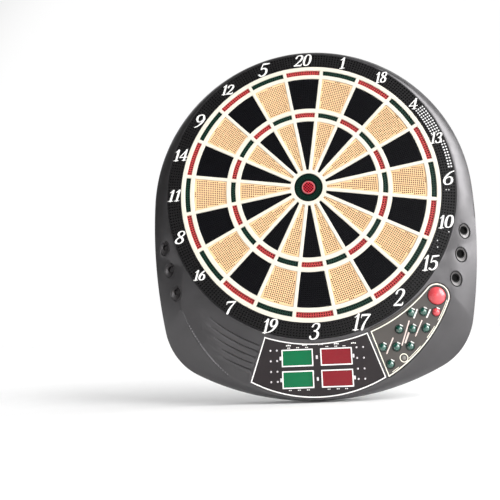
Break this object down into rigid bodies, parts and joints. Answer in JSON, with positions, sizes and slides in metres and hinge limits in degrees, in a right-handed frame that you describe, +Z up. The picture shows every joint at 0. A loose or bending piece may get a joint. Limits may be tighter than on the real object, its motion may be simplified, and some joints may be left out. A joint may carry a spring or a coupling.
{
  "type": "electronic dartboard",
  "caption": "Wall-hung electronic dartboard with a perforated target in a dark casing, number ring, score display, domed control buttons and dart holder sockets.",
  "frame": {"origin": "on the flat back face that lies against the wall, straight behind the bull", "axes": "+X to the right seen from the front, +Z up, +Y out of the back towards the wall, so the target faces -Y"},
  "size_m": [0.4272, 0.0372, 0.4665],
  "materials": {
    "housing": "satin metallic",
    "back_plastic": "matte",
    "ring_black": "satin",
    "web_white": "satin",
    "segment_black": "satin",
    "segment_cream": "satin",
    "segment_red": "satin",
    "segment_green": "satin",
    "mat_rubber": "matte",
    "membrane_film": "gloss",
    "foam": "matte",
    "hardboard": "matte",
    "display_black": "satin",
    "lens_green": "gloss",
    "lens_red": "gloss",
    "indicator": "gloss",
    "module_black": "matte",
    "circuit_board": "satin",
    "control_grey": "satin",
    "button_red": "gloss",
    "button_green": "gloss",
    "speaker_black": "matte",
    "cell_metal": "satin",
    "contact_metal": "polished",
    "jack_black": "matte",
    "screw_steel": "satin",
    "socket_black": "satin"
  },
  "bodies": {
    "casing": {"back_cover": "back_plastic", "backing_board": "hardboard", "battery_cells": "cell_metal", "battery_contacts": "contact_metal", "control_panel": "control_grey", "dart_sockets": "socket_black", "digit_modules": "module_black", "display_panel": "display_black", "foam_mat": "foam", "front_housing": "housing", "housing_screws": "screw_steel", "indicator_lights": "indicator", "keypad_board": "circuit_board", "main_board": "circuit_board", "number_ring": "ring_black", "power_jack": "jack_black", "rubber_mat": "mat_rubber", "sensor_membrane": "membrane_film", "speaker": "speaker_black", "spider": "web_white", "window_lenses_green": "lens_green", "window_lenses_red": "lens_red"},
    "battery_door": {"battery_door": "back_plastic"},
    "button_red_large": {"button_red_large": "button_red"},
    "button_red_small": {"button_red_small": "button_red"},
    "button_green_1": {"button_green_1": "button_green"},
    "button_green_2": {"button_green_2": "button_green"},
    "button_green_3": {"button_green_3": "button_green"},
    "button_green_4": {"button_green_4": "button_green"},
    "button_green_5": {"button_green_5": "button_green"},
    "button_green_6": {"button_green_6": "button_green"},
    "button_green_7": {"button_green_7": "button_green"},
    "button_green_8": {"button_green_8": "button_green"},
    "button_green_9": {"button_green_9": "button_green"},
    "bull_inner": {"bull_inner": "segment_red"},
    "bull_outer": {"bull_outer": "segment_green"},
    "segments_20": {"segments_20": "segment_black"},
    "segments_1": {"segments_1": "segment_cream"},
    "segments_18": {"segments_18": "segment_black"},
    "segments_4": {"segments_4": "segment_cream"},
    "segments_13": {"segments_13": "segment_black"},
    "segments_6": {"segments_6": "segment_cream"},
    "segments_10": {"segments_10": "segment_black"},
    "segments_15": {"segments_15": "segment_cream"},
    "segments_2": {"segments_2": "segment_black"},
    "segments_17": {"segments_17": "segment_cream"},
    "segments_3": {"segments_3": "segment_black"},
    "segments_19": {"segments_19": "segment_cream"},
    "segments_7": {"segments_7": "segment_black"},
    "segments_16": {"segments_16": "segment_cream"},
    "segments_8": {"segments_8": "segment_black"},
    "segments_11": {"segments_11": "segment_cream"},
    "segments_14": {"segments_14": "segment_black"},
    "segments_9": {"segments_9": "segment_cream"},
    "segments_12": {"segments_12": "segment_black"},
    "segments_5": {"segments_5": "segment_cream"}
  },
  "joints": [
    {"name": "battery_door_hinge", "type": "hinge", "parent": "casing", "child": "battery_door", "pos_m": [0, -0.0024, -0.1995], "axis": [1, 0, 0], "range_deg": [0, 95]},
    {"name": "button_red_large_press", "type": "slide", "parent": "casing", "child": "button_red_large", "axis": [0, 1, 0], "range_m": [0, 0.0015], "stiffness_N_per_m": 900},
    {"name": "button_red_small_press", "type": "slide", "parent": "casing", "child": "button_red_small", "axis": [0, 1, 0], "range_m": [0, 0.0015], "stiffness_N_per_m": 600},
    {"name": "button_green_1_press", "type": "slide", "parent": "casing", "child": "button_green_1", "axis": [0, 1, 0], "range_m": [0, 0.0015], "stiffness_N_per_m": 600},
    {"name": "button_green_2_press", "type": "slide", "parent": "casing", "child": "button_green_2", "axis": [0, 1, 0], "range_m": [0, 0.0015], "stiffness_N_per_m": 600},
    {"name": "button_green_3_press", "type": "slide", "parent": "casing", "child": "button_green_3", "axis": [0, 1, 0], "range_m": [0, 0.0015], "stiffness_N_per_m": 600},
    {"name": "button_green_4_press", "type": "slide", "parent": "casing", "child": "button_green_4", "axis": [0, 1, 0], "range_m": [0, 0.0015], "stiffness_N_per_m": 600},
    {"name": "button_green_5_press", "type": "slide", "parent": "casing", "child": "button_green_5", "axis": [0, 1, 0], "range_m": [0, 0.0015], "stiffness_N_per_m": 600},
    {"name": "button_green_6_press", "type": "slide", "parent": "casing", "child": "button_green_6", "axis": [0, 1, 0], "range_m": [0, 0.0015], "stiffness_N_per_m": 600},
    {"name": "button_green_7_press", "type": "slide", "parent": "casing", "child": "button_green_7", "axis": [0, 1, 0], "range_m": [0, 0.0015], "stiffness_N_per_m": 600},
    {"name": "button_green_8_press", "type": "slide", "parent": "casing", "child": "button_green_8", "axis": [0, 1, 0], "range_m": [0, 0.0015], "stiffness_N_per_m": 600},
    {"name": "button_green_9_press", "type": "slide", "parent": "casing", "child": "button_green_9", "axis": [0, 1, 0], "range_m": [0, 0.0015], "stiffness_N_per_m": 600},
    {"name": "bull_inner_press", "type": "slide", "parent": "casing", "child": "bull_inner", "axis": [0, 1, 0], "range_m": [0, 0.0012], "stiffness_N_per_m": 600},
    {"name": "bull_outer_press", "type": "slide", "parent": "casing", "child": "bull_outer", "axis": [0, 1, 0], "range_m": [0, 0.0012], "stiffness_N_per_m": 600},
    {"name": "segments_20_press", "type": "slide", "parent": "casing", "child": "segments_20", "axis": [0, 1, 0], "range_m": [0, 0.0012], "stiffness_N_per_m": 600},
    {"name": "segments_1_press", "type": "slide", "parent": "casing", "child": "segments_1", "axis": [0, 1, 0], "range_m": [0, 0.0012], "stiffness_N_per_m": 600},
    {"name": "segments_18_press", "type": "slide", "parent": "casing", "child": "segments_18", "axis": [0, 1, 0], "range_m": [0, 0.0012], "stiffness_N_per_m": 600},
    {"name": "segments_4_press", "type": "slide", "parent": "casing", "child": "segments_4", "axis": [0, 1, 0], "range_m": [0, 0.0012], "stiffness_N_per_m": 600},
    {"name": "segments_13_press", "type": "slide", "parent": "casing", "child": "segments_13", "axis": [0, 1, 0], "range_m": [0, 0.0012], "stiffness_N_per_m": 600},
    {"name": "segments_6_press", "type": "slide", "parent": "casing", "child": "segments_6", "axis": [0, 1, 0], "range_m": [0, 0.0012], "stiffness_N_per_m": 600},
    {"name": "segments_10_press", "type": "slide", "parent": "casing", "child": "segments_10", "axis": [0, 1, 0], "range_m": [0, 0.0012], "stiffness_N_per_m": 600},
    {"name": "segments_15_press", "type": "slide", "parent": "casing", "child": "segments_15", "axis": [0, 1, 0], "range_m": [0, 0.0012], "stiffness_N_per_m": 600},
    {"name": "segments_2_press", "type": "slide", "parent": "casing", "child": "segments_2", "axis": [0, 1, 0], "range_m": [0, 0.0012], "stiffness_N_per_m": 600},
    {"name": "segments_17_press", "type": "slide", "parent": "casing", "child": "segments_17", "axis": [0, 1, 0], "range_m": [0, 0.0012], "stiffness_N_per_m": 600},
    {"name": "segments_3_press", "type": "slide", "parent": "casing", "child": "segments_3", "axis": [0, 1, 0], "range_m": [0, 0.0012], "stiffness_N_per_m": 600},
    {"name": "segments_19_press", "type": "slide", "parent": "casing", "child": "segments_19", "axis": [0, 1, 0], "range_m": [0, 0.0012], "stiffness_N_per_m": 600},
    {"name": "segments_7_press", "type": "slide", "parent": "casing", "child": "segments_7", "axis": [0, 1, 0], "range_m": [0, 0.0012], "stiffness_N_per_m": 600},
    {"name": "segments_16_press", "type": "slide", "parent": "casing", "child": "segments_16", "axis": [0, 1, 0], "range_m": [0, 0.0012], "stiffness_N_per_m": 600},
    {"name": "segments_8_press", "type": "slide", "parent": "casing", "child": "segments_8", "axis": [0, 1, 0], "range_m": [0, 0.0012], "stiffness_N_per_m": 600},
    {"name": "segments_11_press", "type": "slide", "parent": "casing", "child": "segments_11", "axis": [0, 1, 0], "range_m": [0, 0.0012], "stiffness_N_per_m": 600},
    {"name": "segments_14_press", "type": "slide", "parent": "casing", "child": "segments_14", "axis": [0, 1, 0], "range_m": [0, 0.0012], "stiffness_N_per_m": 600},
    {"name": "segments_9_press", "type": "slide", "parent": "casing", "child": "segments_9", "axis": [0, 1, 0], "range_m": [0, 0.0012], "stiffness_N_per_m": 600},
    {"name": "segments_12_press", "type": "slide", "parent": "casing", "child": "segments_12", "axis": [0, 1, 0], "range_m": [0, 0.0012], "stiffness_N_per_m": 600},
    {"name": "segments_5_press", "type": "slide", "parent": "casing", "child": "segments_5", "axis": [0, 1, 0], "range_m": [0, 0.0012], "stiffness_N_per_m": 600}
  ]
}
